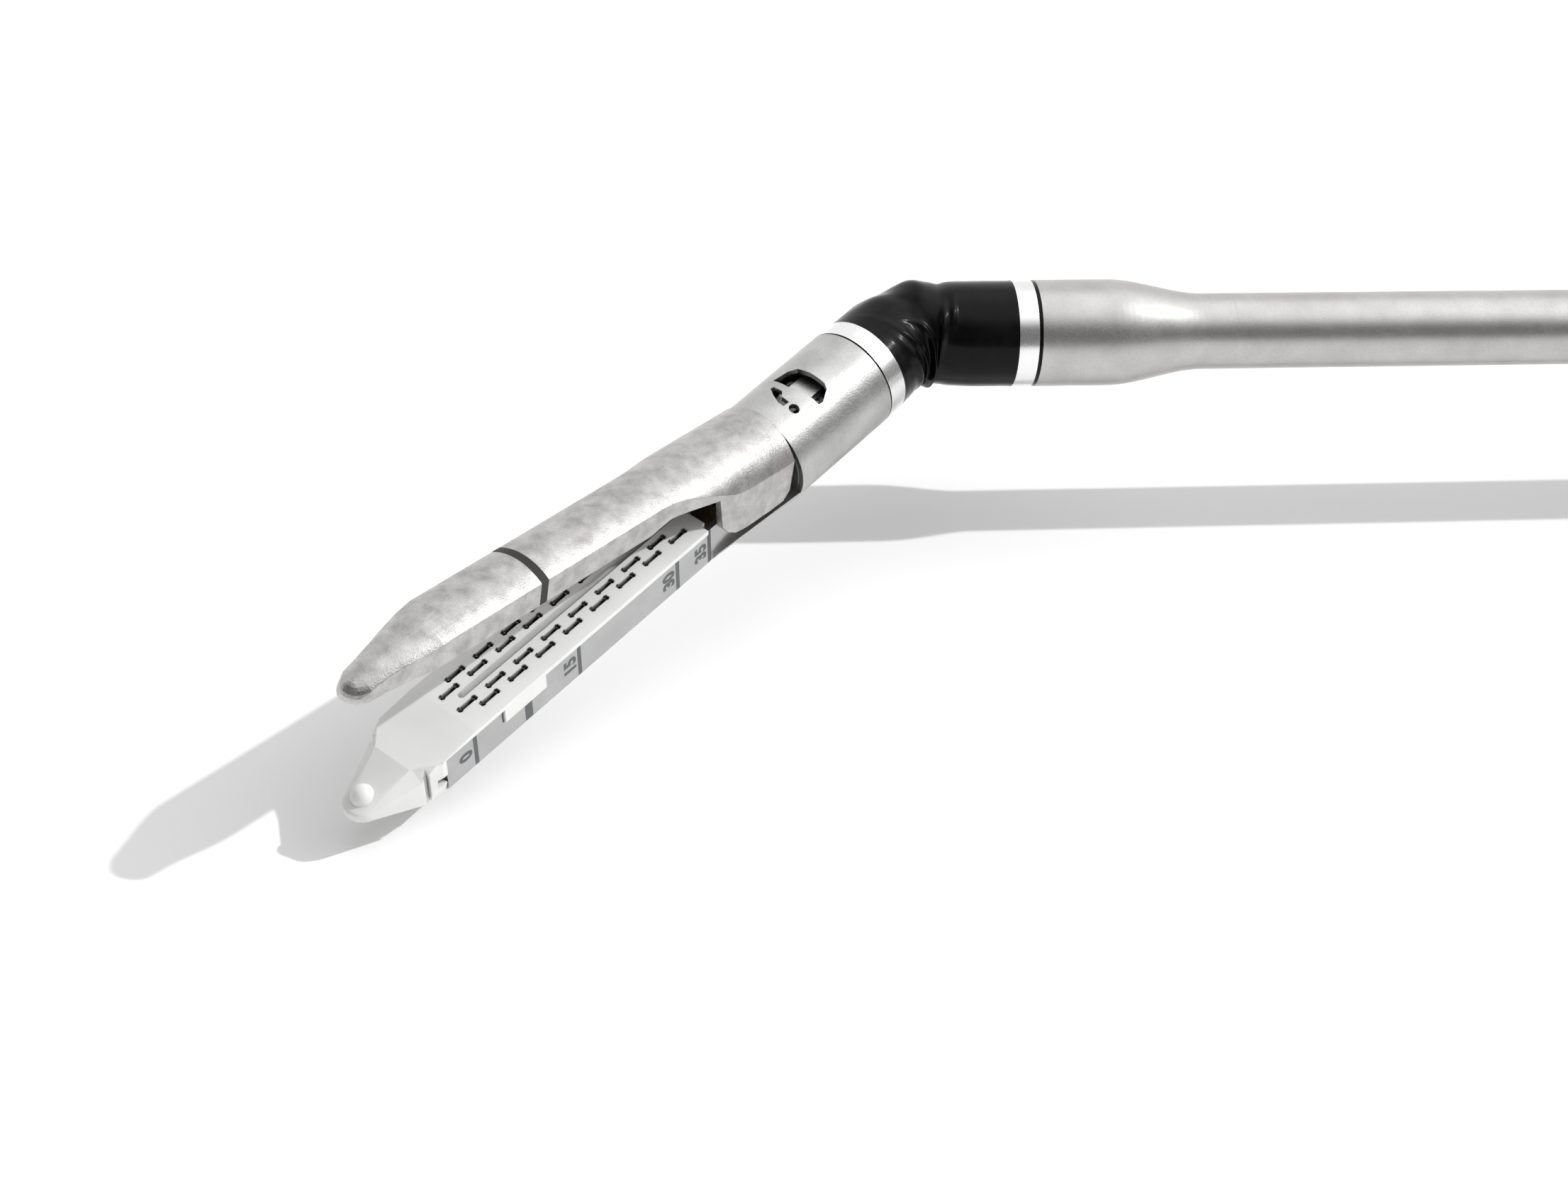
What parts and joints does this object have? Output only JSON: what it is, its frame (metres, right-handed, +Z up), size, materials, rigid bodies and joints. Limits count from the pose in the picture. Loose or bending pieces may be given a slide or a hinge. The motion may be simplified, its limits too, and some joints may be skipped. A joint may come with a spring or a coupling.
{
  "type": "powered surgical stapler",
  "caption": "Wristed powered linear surgical stapler with a marked jaw, white cartridge, rubber-sleeved wrist, stepped shaft and closed drive housing.",
  "frame": {"origin": "centre of the housing's front face, on the shaft's axis", "axes": "+X back into the housing along the shaft, -X towards the jaws, +Z up from the surface the housing lies on"},
  "size_m": [0.2997, 0.096, 0.048],
  "materials": {
    "satin_steel": "satin bead-blasted steel",
    "bright_steel": "polished steel",
    "channel_steel": "fine ground steel with dark laser marks",
    "spring_steel": "drawn steel wire",
    "cartridge_white": "white moulded plastic",
    "pusher_plastic": "moulded plastic",
    "black_rubber": "glossy black rubber",
    "bronze": "sintered bronze",
    "bush_plastic": "acetal",
    "plate_aluminium": "machined aluminium",
    "housing_plastic": "light grey moulded plastic",
    "dark_plastic": "dark grey moulded plastic",
    "titanium_staple": "drawn wire"
  },
  "bodies": {
    "housing": {"front_plate": "dark_plastic", "inner_plate": "plate_aluminium", "rear_bearing_plate": "plate_aluminium", "standoffs": "bright_steel", "shaft_bushes": "bush_plastic", "cable_guide": "bush_plastic", "drum_cables": "spring_steel", "housing_lower_shell": "housing_plastic", "housing_upper_shell": "housing_plastic", "housing_screws": "bright_steel", "button_spring_left": "spring_steel", "button_spring_right": "spring_steel", "release_cap": "dark_plastic"},
    "shaft": {"shaft_tube": "satin_steel", "shaft_reducer": "satin_steel", "proximal_gasket": "black_rubber", "proximal_clamp_ring": "bright_steel", "proximal_wrist_clevis": "satin_steel", "sleeve_proximal": "black_rubber", "cable_bushes": "bush_plastic", "shaft_cables": "spring_steel", "roll_gear": "bronze"},
    "gimbal": {"gimbal_ring": "channel_steel", "wrist_pins": "bright_steel", "drive_core": "spring_steel", "wrist_wires": "spring_steel"},
    "jaw_base": {"distal_wrist_clevis": "satin_steel", "distal_clamp_ring": "bright_steel", "distal_gasket": "black_rubber", "clevis_tube": "satin_steel", "bearing_bulkhead": "channel_steel", "cartridge_channel": "channel_steel", "cartridge_body": "cartridge_white", "cartridge_pan": "channel_steel", "staples": "titanium_staple", "staple_pushers": "pusher_plastic", "screw_end_bearing": "bronze", "anvil_hinge_pins": "bright_steel", "sleeve_distal": "black_rubber"},
    "anvil_jaw": {"anvil": "satin_steel", "closing_pin": "bright_steel"},
    "yoke": {"closing_yoke": "bright_steel", "closing_wires": "spring_steel"},
    "knife_carriage": {"knife": "bright_steel", "drive_nut": "bronze", "wedge_sled": "bush_plastic"},
    "screw": {"lead_screw": "bright_steel", "screw_gear": "bronze"},
    "output": {"output_shaft": "bright_steel", "output_gear": "bronze"},
    "rod": {"drive_rod": "bright_steel", "drive_rod_gear": "bronze"},
    "roll_input": {"roll_disc": "bush_plastic"},
    "fire_input": {"fire_disc": "bush_plastic", "fire_gear": "bronze"},
    "yaw_input": {"yaw_disc": "bush_plastic"},
    "pitch_input": {"pitch_disc": "bush_plastic"},
    "closing_input": {"closing_disc": "bush_plastic"},
    "button_left": {"release_button_left": "dark_plastic"},
    "button_right": {"release_button_right": "dark_plastic"}
  },
  "joints": [
    {"name": "shaft_roll", "type": "hinge", "parent": "housing", "child": "shaft", "pos_m": [0, 0, 0], "axis": [1, 0, 0], "range_deg": [-170, 170]},
    {"name": "wrist_yaw", "type": "hinge", "parent": "shaft", "child": "gimbal", "pos_m": [-0.16, 0, 0], "axis": [0, -0.1409, 0.99], "range_deg": [-104, 15], "deforming": ["sleeve_proximal", "drive_core", "wrist_wires"]},
    {"name": "wrist_pitch", "type": "hinge", "parent": "gimbal", "child": "jaw_base", "pos_m": [-0.16, 0, 0], "axis": [-0.6997, 0.7073, 0.1007], "range_deg": [-53, 66], "deforming": ["sleeve_distal"]},
    {"name": "anvil_close", "type": "hinge", "parent": "jaw_base", "child": "anvil_jaw", "pos_m": [-0.17988, -0.01885, -0.00579], "axis": [-0.6997, 0.7073, 0.1007], "range_deg": [-12, 0]},
    {"name": "yoke_slide", "type": "slide", "parent": "jaw_base", "child": "yoke", "axis": [-0.7102, -0.673, -0.2066], "range_m": [0, 0.0007118]},
    {"name": "knife_fire", "type": "slide", "parent": "jaw_base", "child": "knife_carriage", "axis": [-0.7102, -0.673, -0.2066], "range_m": [0, 0.033]},
    {"name": "screw_spin", "type": "hinge", "parent": "jaw_base", "child": "screw", "pos_m": [-0.17395, -0.01277, -0.00725], "axis": [-0.7102, -0.673, -0.2066], "range_deg": [-3961, 0]},
    {"name": "output_spin", "type": "hinge", "parent": "jaw_base", "child": "output", "pos_m": [-0.1742, -0.01346, -0.00413], "axis": [-0.7102, -0.673, -0.2066], "range_deg": [0, 3961]},
    {"name": "rod_spin", "type": "hinge", "parent": "housing", "child": "rod", "pos_m": [0, 0, 0], "axis": [-1, 0, 0], "range_deg": [0, 3961]},
    {"name": "fire_disc_spin", "type": "hinge", "parent": "housing", "child": "fire_input", "pos_m": [0, 0.01385, 0.0115], "axis": [-1, 0, 0], "range_deg": [-3961, 0]},
    {"name": "roll_disc_spin", "type": "hinge", "parent": "housing", "child": "roll_input", "pos_m": [0, -0.01385, 0.0115], "axis": [1, 0, 0], "range_deg": [-340, 340]},
    {"name": "yaw_disc_spin", "type": "hinge", "parent": "housing", "child": "yaw_input", "pos_m": [0, -0.01385, -0.0115], "axis": [1, 0, 0], "range_deg": [-80, 12]},
    {"name": "pitch_disc_spin", "type": "hinge", "parent": "housing", "child": "pitch_input", "pos_m": [0, 0.01385, -0.0115], "axis": [1, 0, 0], "range_deg": [-15, 19]},
    {"name": "closing_disc_spin", "type": "hinge", "parent": "housing", "child": "closing_input", "pos_m": [0, -0.025, 0], "axis": [1, 0, 0], "range_deg": [-16, 0]},
    {"name": "left_button_press", "type": "slide", "parent": "housing", "child": "button_left", "axis": [0, 1, 0], "range_m": [0, 0.0025], "stiffness_N_per_m": 600, "deforming": ["button_spring_left"]},
    {"name": "right_button_press", "type": "slide", "parent": "housing", "child": "button_right", "axis": [0, -1, 0], "range_m": [0, 0.0025], "stiffness_N_per_m": 600, "deforming": ["button_spring_right"]}
  ],
  "couplings": [
    {"joint": "yoke_slide", "follows": "anvil_close", "m_per_rad": -0.0033938},
    {"joint": "closing_disc_spin", "follows": "anvil_close", "ratio": 1.3053},
    {"joint": "roll_disc_spin", "follows": "shaft_roll", "ratio": -2},
    {"joint": "yaw_disc_spin", "follows": "wrist_yaw", "ratio": 0.7608},
    {"joint": "pitch_disc_spin", "follows": "wrist_pitch", "ratio": 0.28},
    {"joint": "screw_spin", "follows": "knife_fire", "rad_per_m": -2094.4},
    {"joint": "output_spin", "follows": "knife_fire", "rad_per_m": 2094.4},
    {"joint": "rod_spin", "follows": "knife_fire", "rad_per_m": 2094.4},
    {"joint": "fire_disc_spin", "follows": "knife_fire", "rad_per_m": -2094.4}
  ]
}
